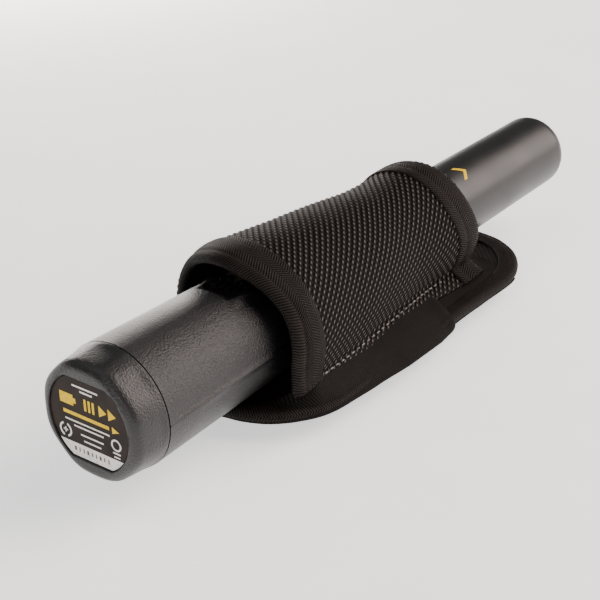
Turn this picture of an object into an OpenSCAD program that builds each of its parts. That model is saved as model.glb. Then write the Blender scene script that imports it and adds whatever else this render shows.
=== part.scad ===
// Hand-held metal-finding probe with a screw cap, lying in its belt holster.
// Every module is drawn about the probe's own axis: X runs from the cap face (0) to the
// tip, and the wrapper placed() then sets the whole object on its resting plane.

/* [Probe] */
// Length from the cap face to the end of the tip
probe_len = 230; // [226:1:234]
// Radius of the handle at the cap seam
handle_r = 19; // [18.9:0.05:19.1]
// Radius at the end of the straight grip
grip_r = 16; // [15.9:0.05:16.1]
// Radius where the tip cover starts
neck_r = 13.2; // [13.1:0.05:13.3]
// Radius of the tip just behind its rounded edge
tip_r = 12.4; // [12.2:0.1:12.6]
// Radius of the rounded edge of the tip
tip_edge = 6; // [5:0.5:7]
// Wall of the handle shells
wall = 1.7; // [1.6:0.05:1.8]
// End of the straight grip, from the cap face
grip_end = 110; // [108:1:112]
// Joint between the handle shells and the tip cover
tip_start = 150; // [149:1:151]

/* [Battery cap] */
// Length of the cap
cap_len = 12; // [11.8:0.1:12.2]
// Radius of the cap at its rear edge
cap_rear_r = 18.3; // [18.1:0.1:18.5]
// Rounding of the rear edge
cap_edge = 1.6; // [1.2:0.2:1.8]
// Number of shallow grip flats
cap_flats = 8; // [6:1:8]
// Depth of each flat at the rear face
flat_depth = 1.1; // [0.8:0.1:1.2]
// Radius of the label recess
label_r = 14.7; // [14:0.1:15]
// Half height of the label between its straight edges
label_half = 12.7; // [12:0.1:13]
// Depth of the label recess
label_depth = 0.9; // [0.8:0.1:1.0]

/* [Thread] */
// Travel of the cap in one turn
thread_lead = 12; // [12]
// Number of thread starts
thread_starts = 3; // [3]
// Radius of the neck between its threads
thread_root = 15.8; // [15.75:0.05:15.85]
// Radius over the neck's threads
thread_crest = 16.5; // [16.45:0.05:16.5]
// Bore of the cap between its threads
cap_bore = 16.75; // [16.7:0.05:16.8]
// Radius inside the cap's threads
cap_crest = 16.05; // [16.0:0.05:16.1]
// Width of one thread along the axis
thread_w = 1.3; // [1.2:0.1:1.4]

/* [Battery] */
// Length of the nine volt battery body
battery_len = 46.4; // [46.4]
// Width of the battery
battery_w = 26.5; // [26.5]
// Height of the battery
battery_h = 17.5; // [17.5]
// Rear end of the battery from the cap face
battery_x = 5.2; // [5.2]

/* [Controls] */
// Centre of the speaker from the cap face
speaker_x = 59.5; // [59:0.5:60]
// Centre of the power button from the cap face
button_x = 82; // [81:0.5:83]
// Radius of the power button
button_r = 4.95; // [4.9:0.05:4.95]
// Travel of the power button
button_travel = 0.8; // [0.6:0.1:0.8]
// Height of the control hump above the axis
hump_top = 18.4; // [18.2:0.1:18.4]

/* [Holster] */
// Rear end of the back plate from the cap face
plate_x = 47.5; // [47:0.5:48]
// Length of the back plate
plate_len = 143; // [142:1:144]
// Width of the back plate
plate_w = 61.6; // [61:0.1:62]
// Corner radius of the back plate
plate_corner = 27; // [26:0.5:28]
// Thickness of the back plate
plate_t = 2.2; // [2.2]
// Thickness of the sleeve fabric
sleeve_t = 2.5; // [2.4:0.1:2.5]
// Thickness of the sleeve lining
lining_t = 0.8; // [0.6:0.1:0.8]
// Width of the belt loop webbing
loop_w = 38; // [38]
// Gap for the belt under the plate
loop_gap = 5; // [4.9:0.1:5]

/* [Hidden] */
$fn = 96;
eps = 0.01;
big = 80;

// Thicknesses and clearances that several pieces share
skin = 0.5;                    // folded tape over an edge
fit_gap = 0.1;                 // between pieces of one body that slip together
seam_proud = 0.15;             // height of the moulded parting line
seam_half = 0.25;              // half width of the parting line
recess_z = 16.5;               // flat floor of the speaker recess above the axis

// Board and what stands on it
board_x = 60;
board_len = 80;
board_half = 10.8;
board_top = -2;
board_t = 1.6;
board_bottom = board_top - board_t;
boss_x = [68, 137.5];

// Neck of the battery box
neck_x = 3.4;
land_x = 9.7;                  // start of the plain land that the o-ring seals on
land_r = 16.6;
collar_end = 15;
box_end = 52;
contact_x = 55.4;
contact_t = 1.2;

// O-ring
ring_wire = 0.6;
ring_r = land_r + 0.05 + ring_wire;
ring_x = 10.9;

// Hump for the button and the light
hump_x = [74, 102];
hump_half = 6;
button_hole = button_r + 0.05;
flange_r = 6;
light_r = 0.9;
light_z = 17.2;
light_leg_x = 95;

// Motor
motor_r = 3.4;
motor_x = 120;
motor_len = 11;
motor_z = 2.6;
weight_x = 132.4;
shaft_r = 0.6;

// Sensing coil
rod_x = [158, 222];
rod_r = 4;
bobbin_x = [176, 216];
flange_t = 1.2;

// Holster levels below the axis
plate_top = -18.3;
plate_bottom = plate_top - plate_t;
band_top = -11.7;
arch_cut = -11.5;
loop_t = 1.5;
axis_height = loop_gap + loop_t - plate_bottom;

function lerp(a, b, t) = a + (b - a) * t;
function ease(t) = t * t * (3 - 2 * t);

// Outer radius of the handle at a distance x from the cap face
function handle_radius(x) = x <= grip_end
    ? lerp(handle_r, grip_r, (x - cap_len) / (grip_end - cap_len))
    : lerp(grip_r, neck_r, ease((x - grip_end) / (tip_start - grip_end)));

handle_line = [for (x = [cap_len, grip_end, for (i = [1:8]) lerp(grip_end, tip_start, i / 8)])
    [x, handle_radius(x)]];

// Points of a quarter circle in the [x, radius] plane, from one angle to another
function arc(cx, cr, r, from, to, steps) =
    [for (i = [0:steps]) let (a = lerp(from, to, i / steps)) [cx + r * cos(a), cr + r * sin(a)]];

// Outer line of the sleeve, wide at the mouth and drawn in towards the front
sleeve_line = [[58, 25.7], [66, 25.9], [74, 25.4], [100, 23.2], [128, 20.1], [138, 19.6],
    [150, 20], [161, 18.9]];

function raised(line, d) = [for (p = line) [p[0], p[1] + d]];
function reversed(line) = [for (i = [len(line) - 1:-1:0]) line[i]];
function part_of(line, from, to) = [for (p = line) if (p[0] >= from && p[0] <= to) p];

// Solid of revolution about the probe axis from [x, radius] points
module turned(points) {
    rotate([0, 90, 0]) rotate_extrude() polygon([for (p = points) [p[1], p[0]]]);
}

// Solid of revolution filled to the axis under a line of [x, radius] points
module turned_under(line) {
    turned(concat([[line[0][0], 0]], line, [[line[len(line) - 1][0], 0]]));
}

// Shell between two offsets of one line
module turned_shell(line, inner, outer) {
    turned(concat(raised(line, outer), reversed(raised(line, inner))));
}

// Round bar along the probe axis
module bar(x, r, len, y = 0, z = 0) {
    translate([x, y, z]) rotate([0, 90, 0]) cylinder(r = r, h = len);
}

// Tube along the probe axis
module tube(x, r_out, r_in, len) {
    difference() {
        bar(x, r_out, len);
        bar(x - 1, r_in, len + 2);
    }
}

// Block from its corners' ranges
module block(x, y, z) {
    translate([x[0], y[0], z[0]]) cube([x[1] - x[0], y[1] - y[0], z[1] - z[0]]);
}

// Flat shape drawn in the plane across the axis, extruded along X
module along_x(x, len) {
    translate([x, 0, 0]) rotate([90, 0, 90]) linear_extrude(len) children();
}

// Slot outline with round ends along X
module stadium(x, half) {
    translate([x[0] + half, 0]) circle(half);
    translate([x[1] - half, 0]) circle(half);
    translate([x[0] + half, -half]) square([x[1] - x[0] - 2 * half, 2 * half]);
}

// Rounded rectangle by its lower left corner
module rounded_rect(x, y, w, h, r) {
    translate([x + r, y]) square([w - 2 * r, h]);
    translate([x, y + r]) square([w, h - 2 * r]);
    for (cx = [x + r, x + w - r], cy = [y + r, y + h - r]) translate([cx, cy]) circle(r);
}

// Wire along straight runs, with round joints
module wire(points, r) {
    for (i = [0:len(points) - 2]) {
        v = points[i + 1] - points[i];
        translate(points[i]) rotate([0, acos(v[2] / norm(v)), atan2(v[1], v[0])])
            cylinder(r = r, h = norm(v), $fn = 24);
        if (i > 0) translate(points[i]) sphere(r * 1.3, $fn = 24);
    }
}

// Stands the probe axis at its height, with the middle of the probe over the origin
module placed() {
    translate([-probe_len / 2, 0, axis_height]) children();
}

// Whole handle tube, before it is parted at the axis
module handle_tube() {
    turned_shell(handle_line, -wall, 0);
    intersection() {
        turned_shell(handle_line, -eps, seam_proud);
        block([cap_len, tip_start], [-big, big], [-seam_half, seam_half]);
    }
}

module hump_outline() {
    stadium(hump_x, hump_half);
}

module speaker_slots() {
    for (i = [-2:2]) {
        half_len = i % 2 == 0 && i != 0 ? 2.2 : 3;
        translate([0, i * 2.4, 0]) linear_extrude(big)
            stadium([speaker_x - half_len, speaker_x + half_len], 0.65);
    }
}

module housing_upper() {
    color("#2b2727") placed() difference() {
        union() {
            intersection() {
                handle_tube();
                block([0, probe_len], [-big, big], [0, big]);
            }
            translate([speaker_x, 0, 14.2]) cylinder(r = 8, h = 2.2);
            difference() {
                linear_extrude(hump_top) hump_outline();
                turned_under(raised(handle_line, -wall - 0.2));
            }
        }
        translate([0, 0, recess_z]) linear_extrude(big)
            stadium([speaker_x - 8, speaker_x + 8], 5.9);
        speaker_slots();
        translate([button_x, 0, 0]) cylinder(r = button_hole, h = big);
        translate([button_x, 0, 0]) cylinder(r = flange_r + 0.3, h = 15);
        bar(hump_x[1] - 8, light_r + 0.05, 10, 0, light_z);
        translate([light_leg_x, 0, 12]) cylinder(r = light_r, h = light_z - 12);
    }
}

module board_boss(x) {
    difference() {
        translate([x, 0, -handle_radius(x) + 1]) cylinder(r = 2.6, h = handle_radius(x) - 1 + board_bottom);
        translate([x, 0, -11]) cylinder(r = 1, h = 12);
    }
}

module housing_lower() {
    color("#2b2727") placed() union() {
        intersection() {
            handle_tube();
            block([0, probe_len], [-big, big], [-big, 0]);
        }
        for (x = boss_x) board_boss(x);
    }
}

module tip_cover() {
    edge_x = probe_len - tip_edge;
    inner_edge = tip_edge - wall;
    spigot_len = 8;
    spigot_bore = neck_r - wall - 1.4;
    color("#3a3534") placed() difference() {
        union() {
            turned_under(concat([[tip_start, neck_r]],
                arc(edge_x, tip_r - tip_edge, tip_edge, 90, 0, 10)));
            bar(tip_start - spigot_len, neck_r - wall - fit_gap, spigot_len + eps);
        }
        turned_under(concat([[tip_start + 1, spigot_bore], [tip_start + 4, neck_r - wall]],
            arc(edge_x, tip_r - tip_edge, inner_edge, 90, 0, 6)));
        bar(tip_start - spigot_len - 1, spigot_bore, spigot_len + 2 + eps);
    }
}

// Outline of the battery box across the axis
module box_outline(r) {
    intersection() {
        circle(r);
        square([2 * big, 21.2], center = true);
    }
}

module battery_hole() {
    rounded_rect(-battery_w / 2 - 0.25, -battery_h / 2 - 0.25, battery_w + 0.5,
        battery_h + 0.5, 3);
}

// One corner of a thread's section, on the helix that passes through the seam
function helix_point(x, r, dx, turn) = let (a = turn + 360 * x / thread_lead)
    [x + dx, r * cos(a), r * sin(a)];

// Thread ribs with sloping sides, from their foot radius to their crest radius
module thread_ribs(foot, crest, x, len, turn) {
    steps = 12;
    half_foot = thread_w / 2;
    half_crest = thread_w / 4;
    for (s = [0:thread_starts - 1]) {
        start = turn + s * 360 / thread_starts;
        points = [for (i = [0:steps]) let (xi = x + len * i / steps) each [
            helix_point(xi, foot, -half_foot, start), helix_point(xi, foot, half_foot, start),
            helix_point(xi, crest, half_crest, start),
            helix_point(xi, crest, -half_crest, start)]];
        sides = [for (i = [0:steps - 1], k = [0:3]) let (a = 4 * i + k, b = 4 * i + (k + 1) % 4)
            each [[a, b, b + 4], [a, b + 4, a + 4]]];
        last = 4 * steps;
        ends = [[3, 2, 1, 0], [last, last + 1, last + 2, last + 3]];
        polyhedron(points, crest < foot ? concat(sides, ends) : [for (f = concat(sides, ends))
            [for (j = [len(f) - 1:-1:0]) f[j]]]);
    }
}

module battery_box() {
    color("#3d3a39") placed() union() {
        difference() {
            union() {
                bar(neck_x, thread_root, land_x - neck_x + eps);
                bar(land_x, land_r, cap_len - land_x + eps);
                bar(cap_len, handle_r - wall - fit_gap * 2, collar_end - cap_len);
                along_x(cap_len, box_end - cap_len) box_outline(thread_root);
            }
            along_x(0, box_end + 1) battery_hole();
        }
        thread_ribs(thread_root - 0.25, thread_crest, neck_x + 0.9, 4.6, 0);
    }
}

module battery() {
    color("#8d8f8f") placed() along_x(battery_x, battery_len)
        rounded_rect(-battery_w / 2, -battery_h / 2, battery_w, battery_h, 2.8);
}

module battery_terminals() {
    x = battery_x + battery_len;
    color("#c9c7c0") placed() {
        bar(x, 2.9, 2.2, -6.35);
        difference() {
            bar(x, 4.1, 2.2, 6.35);
            bar(x + 0.4, 3.1, 3, 6.35);
        }
    }
}

module contact_board() {
    color("#6b4a2a") placed() along_x(contact_x, contact_t) box_outline(15.5);
}

module contact_springs() {
    x = battery_x + battery_len + 2.3;
    color("#d0b060") placed() for (y = [-6.35, 6.35]) {
        block([x, x + 0.4], [y - 3, y + 3], [-2.5, 2.5]);
        block([x + 0.4, contact_x], [y - 3, y + 3], [1.9, 2.5]);
    }
}

module battery_leads() {
    start = contact_x + contact_t;
    color("#b02020") placed() for (y = [-5, 5])
        wire([[start + 0.25, y, 1], [board_x + 2.8, y, board_top + 0.7]], 0.6);
}

module circuit_board() {
    color("#1f5a35") placed() difference() {
        block([board_x, board_x + board_len], [-board_half, board_half],
            [board_bottom, board_top]);
        for (x = boss_x) translate([x, 0, board_bottom - 1]) cylinder(r = 1.3, h = board_t + 2);
    }
}

module board_screws() {
    color("#b9b9bd") placed() for (x = boss_x) {
        translate([x, 0, -9]) cylinder(r = 0.95, h = 9 + board_top);
        translate([x, 0, board_top]) difference() {
            cylinder(r = 2.1, h = 1.4);
            translate([-0.35, -2.5, 0.8]) cube([0.7, 5, 1]);
        }
    }
}

module main_chip() {
    x = 96;
    color("#1d1d1f") placed() {
        block([x, x + 10], [-5, 5], [board_top + 0.3, board_top + 1.6]);
        for (i = [0:7], side = [-1, 1]) {
            y = side * 5.4;
            block([x + 0.8 + i * 1.2, x + 1.2 + i * 1.2], [y - 0.6, y + 0.6],
                [board_top, board_top + 0.6]);
        }
    }
}

module small_chips() {
    color("#252528") placed() for (p = [[72, -6, 5], [72, 6, 5], [88, 7, 4], [109, -6.5, 4],
        [112, 6.5, 5], [75, 0, 3]])
        block([p[0], p[0] + p[2]], [p[1] - 2, p[1] + 2], [board_top, board_top + 1.4]);
}

module capacitors() {
    color("#33363f") placed() for (p = [[90, -6.5], [110.5, 0], [66, 7]])
        translate([p[0], p[1], board_top]) {
            cylinder(r = 2.4, h = 5.6);
            cylinder(r = 2.6, h = 0.8);
        }
}

module speaker() {
    color("#8a8578") placed() translate([speaker_x, 0, 11]) {
        cylinder(r = 7, h = 1.6);
        cylinder(r = 5.6, h = 2.6);
    }
}

module speaker_mesh() {
    color("#5a5a5c") placed() translate([speaker_x, 0, 13.8]) cylinder(r = 6.8, h = 0.3);
}

module speaker_leads() {
    color("#b02020") placed() for (y = [-1.5, 1.5])
        wire([[speaker_x + 7.4, y, 12], [speaker_x + 12, y, 8], [speaker_x + 12, y, board_top]],
            0.4);
}

module power_switch() {
    color("#2a2a2c") placed() {
        block([button_x - 3, button_x + 3], [-3, 3], [board_top, 1.4]);
        translate([button_x, 0, 1.4]) cylinder(r = 1.5, h = 1);
    }
}

module power_button() {
    color("#1c1a1a") placed() translate([button_x, 0, 0]) {
        translate([0, 0, 14]) cylinder(r = button_r, h = hump_top + 0.2 - 14);
        translate([0, 0, 13.6]) cylinder(r = flange_r, h = 1.2);
        translate([0, 0, hump_top + 0.2]) cylinder(r1 = button_r, r2 = button_r - 0.6, h = 0.4);
        translate([0, 0, 3.4]) cylinder(r = 1.4, h = 10.4);
    }
}

module led() {
    color("#e8ecf0") placed() {
        bar(hump_x[1] - 8, light_r, 7.2, 0, light_z);
        translate([hump_x[1] - 0.8, 0, light_z]) sphere(light_r);
        for (y = [-0.4, 0.4]) translate([light_leg_x, y, board_top])
            cylinder(r = 0.25, h = light_z - board_top);
    }
}

module vibration_motor() {
    color("#b4b6ba") placed() difference() {
        bar(motor_x, motor_r, motor_len, 0, motor_z);
        bar(motor_x + 4, shaft_r + 0.05, motor_len, 0, motor_z);
    }
}

module motor_cradle() {
    color("#303030") placed() difference() {
        block([motor_x + 0.5, motor_x + 8], [-4.6, 4.6], [board_top, motor_z]);
        bar(motor_x - 1, motor_r + 0.05, motor_len, 0, motor_z);
    }
}

module motor_weight() {
    color("#c8bd9a") placed() {
        bar(motor_x + 4.5, shaft_r, 12, 0, motor_z);
        intersection() {
            bar(weight_x, 3, 3.6, 0, motor_z);
            block([weight_x, weight_x + 3.6], [-big, big], [motor_z - 3, motor_z + 0.4]);
        }
        bar(weight_x, 1.4, 3.6, 0, motor_z);
    }
}

module motor_leads() {
    color("#3050a0") placed() for (y = [-1.4, 1.4])
        wire([[motor_x, y, motor_z], [motor_x - 3, y, motor_z], [motor_x - 4, y, board_top]], 0.35);
}

module ferrite_rod() {
    color("#3a3836") placed() bar(rod_x[0], rod_r, rod_x[1] - rod_x[0]);
}

module coil_bobbin() {
    color("#e0dccf") placed() {
        tube(bobbin_x[0], 5, rod_r + 0.05, bobbin_x[1] - bobbin_x[0]);
        for (x = [bobbin_x[0], bobbin_x[1] - flange_t]) tube(x, 9, rod_r + 0.05, flange_t);
    }
}

module coil_winding() {
    color("#b5672c") placed() tube(bobbin_x[0] + flange_t + 0.1, 6.6, 5.05,
        bobbin_x[1] - bobbin_x[0] - 2 * flange_t - 0.2);
}

module rod_supports() {
    color("#4a4745") placed() for (x = [rod_x[0] + 2, rod_x[1] - 5]) difference() {
        bar(x, 10.5, 3);
        bar(x - 1, rod_r + 0.05, 5);
        for (a = [0:90:270]) rotate([a, 0, 0]) bar(x - 1, 2.1, 5, 0, 7.3);
    }
}

module coil_leads() {
    color("#a85a24") placed() for (y = [-6.2, 6.2])
        wire([[bobbin_x[0], y, 0], [board_x + board_len - 3, y, board_top + 0.35]], 0.3);
}

// Outside of the cap before its flats are cut
module cap_outside() {
    turned_under(concat(
        reversed(arc(cap_edge, cap_rear_r - cap_edge, cap_edge, 90, 180, 5)),
        [[cap_len - 0.9, handle_r], [cap_len - 0.5, handle_r], [cap_len - 0.1, handle_r - 0.35]]));
}

// Flats lean so that they run out just behind the seam
module cap_flat_cuts() {
    lean = atan(flat_depth / (cap_len - 1));
    for (i = [0:cap_flats - 1]) rotate([i * 360 / cap_flats, 0, 0])
        translate([0, 0, handle_r - flat_depth - 0.55]) rotate([0, -lean, 0])
            block([-5, cap_len + 3], [-12, 12], [0, 6]);
}

module label_outline(r, half) {
    intersection() {
        circle(r);
        square([2 * big, 2 * half], center = true);
    }
}

module battery_cap() {
    color("#2e2a29") placed() union() {
        difference() {
            cap_outside();
            cap_flat_cuts();
            bar(2.8, cap_bore, land_x - 2.8 + eps);
            bar(land_x - 0.1, land_r + 0.15, cap_len);
            along_x(-1, 1 + label_depth) label_outline(label_r, label_half);
            tube(ring_x - 0.7, ring_r + ring_wire + 0.05, 1, 1.4);
        }
        thread_ribs(cap_bore + 0.2, cap_crest, 4, 4.8, 180 / thread_starts);
    }
}

module cap_label() {
    color("#4a3d35") placed() along_x(label_depth - 0.35, 0.35)
        label_outline(label_r - 0.15, label_half - 0.15);
}

module cap_pad() {
    color("#55524f") placed() bar(2.8, battery_h / 2 - 0.25, battery_x - 2.9);
}

module o_ring() {
    color("#161616") placed() translate([ring_x, 0, 0]) rotate([0, 90, 0])
        rotate_extrude() translate([ring_r, 0]) circle(ring_wire);
}

// Arch over the probe between two offsets of one line: round above the axis, with straight
// walls below it that stop short of the side bands
module arch_shell(line, inner, outer) {
    section = concat(raised(line, outer), reversed(raised(line, inner)));
    intersection() {
        turned(section);
        block([0, probe_len], [-big, big], [0, big]);
    }
    for (side = [0, 1]) mirror([0, side, 0])
        translate([0, 0, arch_cut]) linear_extrude(-arch_cut) polygon(section);
}

module sleeve() {
    color("#26221f") placed() arch_shell(sleeve_line, -sleeve_t, 0);
}

module sleeve_lining() {
    color("#1a1817") placed() arch_shell(part_of(sleeve_line, 60, 155),
        -sleeve_t - lining_t, -sleeve_t - 0.05);
}

// Tape folded over one end of the sleeve: an outer layer, an inner layer and the rim
module end_tape(line, rim, fold_in) {
    gap = 0.05;
    inside = -sleeve_t - fold_in - gap;
    arch_shell(line, gap, skin);
    arch_shell(line, inside - skin, inside);
    arch_shell(rim, inside - skin, skin);
}

module rear_binding() {
    color("#2b2622") placed() end_tape([[57.9, 25.7], [66, 25.9], [74, 25.4]],
        [[55.6, 25.2], [57.9, 25.7]], lining_t);
}

module front_binding() {
    color("#2b2622") placed() end_tape([[150.2, 20], [161.1, 18.9]],
        [[161.1, 18.9], [163, 18.6]], 0);
}

// Side band: slopes from the sleeve's lower edge out to the rim of the back plate
module side_band(side) {
    stations = [[58, 25.7, 25.8], [75, 25.3, 29], [100, 23.2, 29.4], [138, 19.6, 29.4],
        [160, 19.2, 29.4]];
    t = 2.4;
    for (i = [0:len(stations) - 2]) hull() for (s = [stations[i], stations[i + 1]])
        along_x(s[0], eps) polygon([for (p = [[s[1] - t, band_top], [s[1], band_top],
            [s[2], plate_top + 1.2], [s[2], plate_top + 0.2], [s[2] - 7, plate_top + 0.2]])
            [side * p[0], p[1]]]);
}

module side_band_left() {
    color("#231f1c") placed() side_band(1);
}

module side_band_right() {
    color("#231f1c") placed() side_band(-1);
}

// Plate outline shrunk by a margin
module plate_outline(margin) {
    rounded_rect(plate_x + margin, -plate_w / 2 + margin, plate_len - 2 * margin,
        plate_w - 2 * margin, plate_corner - margin);
}

module back_plate() {
    color("#1d1a18") placed() translate([0, 0, plate_bottom])
        linear_extrude(plate_t) plate_outline(1);
}

module plate_binding() {
    color("#2b2622") placed() difference() {
        translate([0, 0, plate_bottom - skin]) linear_extrude(plate_t + skin + 0.1)
            difference() {
                plate_outline(0);
                plate_outline(8);
            }
        translate([0, 0, plate_bottom]) linear_extrude(plate_t) plate_outline(1);
    }
}

module belt_loop() {
    low = -axis_height;
    ends = [72, 152];
    foot = 6;
    color("#1b1917") placed()
        rotate([90, 0, 0]) translate([0, 0, -loop_w / 2]) linear_extrude(loop_w) {
            translate([ends[0], low]) square([ends[1] - ends[0], loop_t]);
            for (x = [ends[0], ends[1] - loop_t])
                translate([x, low]) square([loop_t, plate_bottom - low]);
            for (x = [ends[0] - foot, ends[1] - eps])
                translate([x, plate_bottom - loop_t]) square([foot + eps, loop_t]);
        }
}

housing_upper();
housing_lower();
tip_cover();
battery_box();
battery();
battery_terminals();
contact_board();
contact_springs();
battery_leads();
circuit_board();
board_screws();
main_chip();
small_chips();
capacitors();
speaker();
speaker_mesh();
speaker_leads();
power_switch();
power_button();
led();
vibration_motor();
motor_cradle();
motor_weight();
motor_leads();
ferrite_rod();
coil_bobbin();
coil_winding();
rod_supports();
coil_leads();
battery_cap();
cap_label();
cap_pad();
o_ring();
sleeve();
sleeve_lining();
rear_binding();
front_binding();
side_band_left();
side_band_right();
back_plate();
plate_binding();
belt_loop();
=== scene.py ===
import math

import bmesh
import bpy
import numpy as np
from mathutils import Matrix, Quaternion, Vector, noise


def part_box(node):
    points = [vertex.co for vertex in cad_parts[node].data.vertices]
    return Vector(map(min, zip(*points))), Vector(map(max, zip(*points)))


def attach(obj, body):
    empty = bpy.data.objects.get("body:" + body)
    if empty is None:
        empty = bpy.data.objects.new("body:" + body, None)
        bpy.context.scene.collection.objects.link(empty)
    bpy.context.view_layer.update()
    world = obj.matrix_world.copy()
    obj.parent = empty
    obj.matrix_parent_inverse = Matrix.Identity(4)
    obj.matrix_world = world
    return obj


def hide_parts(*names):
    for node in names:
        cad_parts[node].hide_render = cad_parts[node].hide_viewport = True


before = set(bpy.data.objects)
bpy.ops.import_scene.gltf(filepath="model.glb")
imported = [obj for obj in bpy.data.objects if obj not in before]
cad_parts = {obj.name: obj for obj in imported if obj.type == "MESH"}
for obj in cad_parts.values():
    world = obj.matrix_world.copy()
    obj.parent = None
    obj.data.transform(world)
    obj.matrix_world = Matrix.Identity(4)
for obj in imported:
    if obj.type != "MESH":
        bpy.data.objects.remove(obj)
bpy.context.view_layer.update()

bpy.ops.object.select_all(action="DESELECT")
print("frame loaded:", len(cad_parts), "nodes")

# Millimetres are measured from the cap's face, along the probe's own axis
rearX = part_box("battery_cap")[0].x
axisZ = sum(corner.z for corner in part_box("tip_cover")) / 2
origin = Vector((rearX, 0, axisZ))


def at(x, y, z):
    return origin + Vector((x, y, z)) / 1000


def spanMm(name):
    low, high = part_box(name)
    return (low - origin) * 1000, (high - origin) * 1000


plateLow, plateHigh = spanMm("back_plate")
bindingLow = spanMm("plate_binding")[0]
loopLow, loopHigh = spanMm("belt_loop")
capHigh = spanMm("battery_cap")[1]


def linear(code):
    parts = [int(code[i:i + 2], 16) / 255 for i in (1, 3, 5)]
    return tuple(c / 12.92 if c <= 0.04045 else ((c + 0.055) / 1.055) ** 2.4 for c in parts) + (1,)


def setInputs(tree, made, values):
    for socket, value in values.items():
        if isinstance(value, bpy.types.Node):
            value = value.outputs[0]
        if isinstance(value, bpy.types.NodeSocket):
            tree.links.new(value, made.inputs[socket])
        elif isinstance(value, str):
            made.inputs[socket].default_value = linear(value)
        else:
            made.inputs[socket].default_value = value


def addNode(tree, kind, values=None, stops=None, **settings):
    made = tree.nodes.new("ShaderNode" + kind)
    for name, value in settings.items():
        setattr(made, name, value)
    setInputs(tree, made, values or {})
    if stops:
        elements = made.color_ramp.elements
        while len(elements) < len(stops):
            elements.new(0.5)
        for element, (place, code) in zip(elements, stops):
            element.position = place
            element.color = linear(code)
    return made


def startMaterial(name):
    made = bpy.data.materials.new(name)
    made.use_nodes = True
    return made, made.node_tree, made.node_tree.nodes["Principled BSDF"]


def mouldedPlastic(name, dark, light, grain, depth, roughness, blotch=16):
    # ABS from an etched mould: the leather grain breaks its shine into soft specks
    made, tree, shader = startMaterial(name)
    place = addNode(tree, "TexCoord").outputs["Object"]
    cells = addNode(tree, "TexVoronoi", {"Vector": place, "Scale": 1000 / grain, "Smoothness": 0.6},
                    feature="SMOOTH_F1")
    fine = addNode(tree, "TexNoise", {"Vector": place, "Scale": 1000 / (grain * 0.5), "Detail": 3})
    height = addNode(tree, "Math", {0: cells, 1: fine}, operation="ADD")
    bump = addNode(tree, "Bump", {"Strength": 0.8, "Distance": depth / 1000, "Height": height})
    broad = addNode(tree, "TexNoise", {"Vector": place, "Scale": 1000 / blotch, "Detail": 2})
    shine = addNode(tree, "MapRange", {"Value": broad, "From Min": 0.3, "From Max": 0.7,
                                       "To Min": roughness - 0.05, "To Max": roughness + 0.06})
    colour = addNode(tree, "ValToRGB", {"Fac": fine}, stops=[(0.3, dark), (0.75, light)])
    setInputs(tree, shader, {"Base Color": colour, "Roughness": shine, "Normal": bump, "IOR": 1.53})
    return made


def wovenNylon(name, holeShade, thread, crownHighlight, ribPitch, beadPitch, depth, bias):
    # Ballistic nylon: thick cords cross in a basket weave; holes get painted shade, crowns a painted
    # highlight
    made, tree, shader = startMaterial(name)
    turned = addNode(tree, "VectorRotate", {"Vector": addNode(tree, "TexCoord").outputs["UV"],
                                            "Angle": math.radians(bias)}, rotation_type="Z_AXIS")
    cloth = addNode(tree, "SeparateXYZ", {"Vector": turned})
    ribTurn = addNode(tree, "Math", {0: cloth.outputs["X"], 1: 2 * math.pi / (ribPitch / 1000)},
                      operation="MULTIPLY")
    beadTurn = addNode(tree, "Math", {0: cloth.outputs["Y"], 1: 2 * math.pi / (beadPitch / 1000)},
                       operation="MULTIPLY")
    rib = addNode(tree, "Math", {0: ribTurn}, operation="COSINE")
    lean = addNode(tree, "Math", {0: addNode(tree, "Math", {0: ribTurn}, operation="SINE"), 1: 0.45},
                   operation="MULTIPLY")
    leaning = addNode(tree, "Math", {0: beadTurn, 1: lean}, operation="ADD")
    bead = addNode(tree, "MapRange", {"Value": addNode(tree, "Math", {0: leaning}, operation="COSINE"),
                                      "From Min": -1, "To Min": 0.12})
    knot = addNode(tree, "Math", {0: rib, 1: bead}, operation="MULTIPLY")
    height = addNode(tree, "MapRange", {"Value": knot, "From Min": -1, "To Min": 0})
    place = addNode(tree, "TexCoord").outputs["Object"]
    fibre = addNode(tree, "TexNoise", {"Vector": place, "Scale": 1000 / 0.3, "Detail": 2})
    rough = addNode(tree, "Math", {0: fibre, 1: 0.12}, operation="MULTIPLY")
    total = addNode(tree, "Math", {0: height, 1: rough}, operation="ADD")
    bump = addNode(tree, "Bump", {"Strength": 1.0, "Distance": depth / 1000, "Height": total})
    # Colour by cord height: painted shade in the holes, the cloth's own thread tone, a painted highlight on
    # the crowns
    colour = addNode(tree, "ValToRGB", {"Fac": total},
                     stops=[(0.15, holeShade), (0.5, thread), (0.7, thread), (0.98, crownHighlight)])
    setInputs(tree, shader, {"Base Color": colour, "Roughness": 0.68, "Normal": bump, "IOR": 1.5,
                             "Specular IOR Level": 0.1})
    return made


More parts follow.
